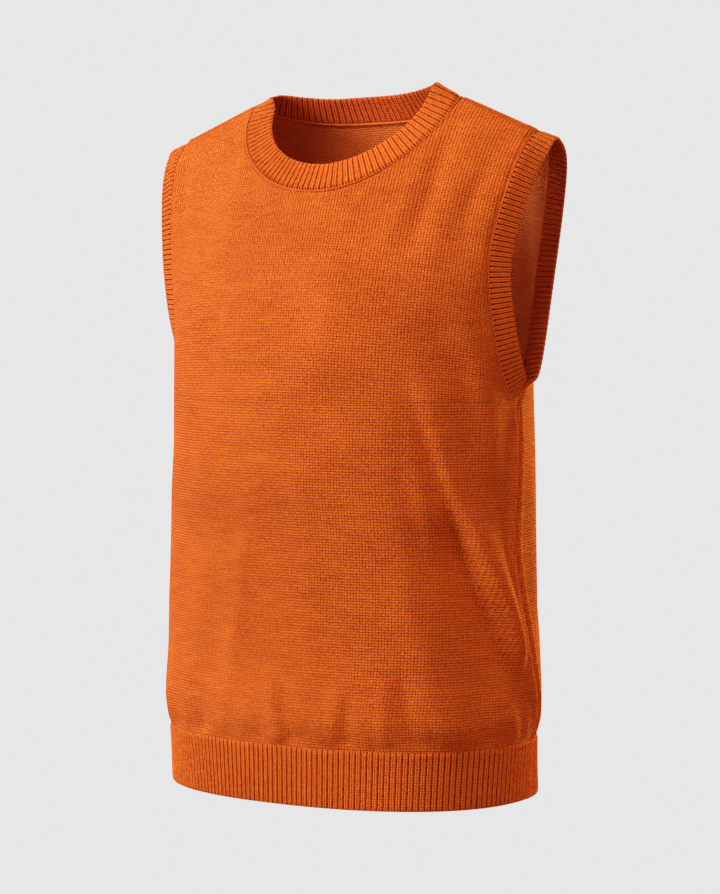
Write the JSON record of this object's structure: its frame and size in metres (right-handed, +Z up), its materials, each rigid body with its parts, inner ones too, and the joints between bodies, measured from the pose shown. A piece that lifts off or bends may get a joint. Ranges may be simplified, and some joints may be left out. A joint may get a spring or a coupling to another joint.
{
  "type": "knitted sweater vest",
  "caption": "Sleeveless crew-neck vest in fine orange cotton knit, worn form with no wearer, with ribbed neckband, armhole bands and hem.",
  "frame": {"origin": "midway between the shoulder seams at the neckline, where the wearer's shoulders hold the garment up", "axes": "+Z up along the body, -Y out of the chest, +X to the wearer's left"},
  "size_m": [0.4184, 0.2467, 0.6177],
  "materials": {
    "knit": "fine stocking stitch in orange cotton yarn",
    "rib": "one by one rib in the same orange cotton yarn"
  },
  "bodies": {
    "root": {"front_panel": "knit", "back_panel": "knit", "front_hem_rib": "rib", "back_hem_rib": "rib", "neck_band": "rib", "armhole_band_left": "rib", "armhole_band_right": "rib"}
  },
  "joints": []
}
